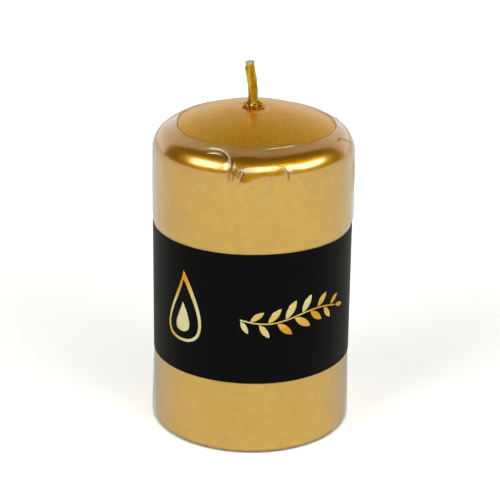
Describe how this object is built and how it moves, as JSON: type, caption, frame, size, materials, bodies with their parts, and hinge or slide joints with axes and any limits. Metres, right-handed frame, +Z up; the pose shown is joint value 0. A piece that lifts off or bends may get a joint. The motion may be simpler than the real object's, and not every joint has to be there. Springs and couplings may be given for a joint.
{
  "type": "pillar candle",
  "caption": "Gold lacquered wax pillar candle with a domed top and a short leaning wick, in clear shrink film with a black paper band printed in gold foil.",
  "frame": {"origin": "on the candle's axis, at the underside of the film that it stands on", "axes": "+Z up along the candle's axis, -Y towards the printed front of the band, +X to the right of the front view"},
  "size_m": [0.061, 0.061, 0.1137],
  "materials": {
    "pressed_wax": "pressed white paraffin wax, fine granular",
    "dipped_wax": "smooth dipped wax, slightly translucent",
    "gold_lacquer": "satin metallic gold lacquer with a fine flake",
    "cotton": "braided cotton, waxed, greyish at the cut",
    "tinplate": "stamped tinplate",
    "clear_film": "clear polyolefin shrink film, glossy",
    "black_paper": "black coated paper, satin",
    "glue": "dried hot-melt glue",
    "gold_foil": "hot-stamped gold foil"
  },
  "bodies": {
    "root": {"wax_core": "pressed_wax", "overdip_shell": "dipped_wax", "lacquer_coat": "gold_lacquer", "wick": "cotton", "wick_lacquer": "gold_lacquer", "wick_sustainer": "tinplate", "wax_crumbs": "gold_lacquer", "film_wrap": "clear_film", "belly_band": "black_paper", "band_glue": "glue", "foil_flame": "gold_foil", "foil_sprig": "gold_foil"}
  },
  "joints": []
}
